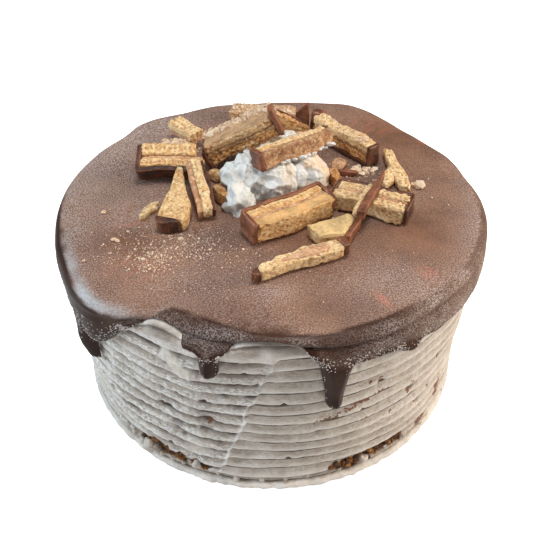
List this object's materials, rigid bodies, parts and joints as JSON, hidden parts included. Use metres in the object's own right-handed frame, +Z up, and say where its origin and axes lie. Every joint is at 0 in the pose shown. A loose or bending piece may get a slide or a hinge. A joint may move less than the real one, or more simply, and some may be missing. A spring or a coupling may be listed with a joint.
{
  "type": "ice cream cake",
  "caption": "Round ice cream cake with comb-ridged frosting, dripping chocolate ganache, whipped cream and broken chocolate wafer bars on top.",
  "frame": {"origin": "centre of the cake's outline at the level of its underside", "axes": "+Z up through the cake, -Y towards the side the picture shows, +X to the right of it"},
  "size_m": [0.1558, 0.1588, 0.0978],
  "materials": {
    "crumb_base": "dark cookie crumb, rough",
    "frosting": "combed whipped frosting",
    "ganache": "set chocolate ganache with a frosty bloom",
    "cream": "whipped cream",
    "chocolate": "milk chocolate coating",
    "wafer": "baked wafer, porous",
    "filling": "praline cream filling"
  },
  "bodies": {
    "root": {"crumb_base": "crumb_base", "frosting": "frosting", "ganache": "ganache", "cream": "cream", "back_chip_coat": "chocolate", "back_left_chip_filling": "filling", "back_left_chip_wafer": "wafer", "back_lump_coat": "chocolate", "back_slab_coat": "chocolate", "back_slab_wafer": "wafer", "back_strip_filling": "filling", "back_strip_wafer": "wafer", "cocoa_rod": "chocolate", "cream_bar_filling": "filling", "cream_bar_left_coat": "chocolate", "cream_bar_right_coat": "chocolate", "cream_bar_wafer": "wafer", "crumb_heap": "wafer", "forked_wafer_wafer": "wafer", "front_bar_back_wafer": "wafer", "front_bar_coat": "chocolate", "front_bar_filling": "filling", "front_bar_front_wafer": "wafer", "front_lens_coat": "chocolate", "front_lens_wafer": "wafer", "front_stick_filling": "filling", "front_stick_left_coat": "chocolate", "front_stick_right_coat": "chocolate", "front_stick_wafer": "wafer", "hidden_wafer": "wafer", "left_bar_back_wafer": "wafer", "left_bar_coat": "chocolate", "left_bar_filling": "filling", "left_bar_front_wafer": "wafer", "left_flake": "wafer", "left_stick_coat": "chocolate", "left_stick_filling": "filling", "left_stick_wafer": "wafer", "left_wedge_coat": "chocolate", "left_wedge_wafer": "wafer", "pale_lump": "wafer", "right_back_bar_coat": "chocolate", "right_back_bar_filling": "filling", "right_back_bar_low_wafer": "wafer", "right_back_bar_top_wafer": "wafer", "right_bar_back_wafer": "wafer", "right_bar_coat": "chocolate", "right_bar_filling": "filling", "right_bar_front_wafer": "wafer", "right_stick_coat": "chocolate", "right_stick_wafer": "wafer", "round_flake": "filling", "small_wafer": "wafer", "top_chunk_end_coat": "chocolate", "top_chunk_filling": "filling", "top_chunk_left_coat": "chocolate", "top_chunk_low_wafer": "wafer", "top_chunk_top_wafer": "wafer"}
  },
  "joints": []
}
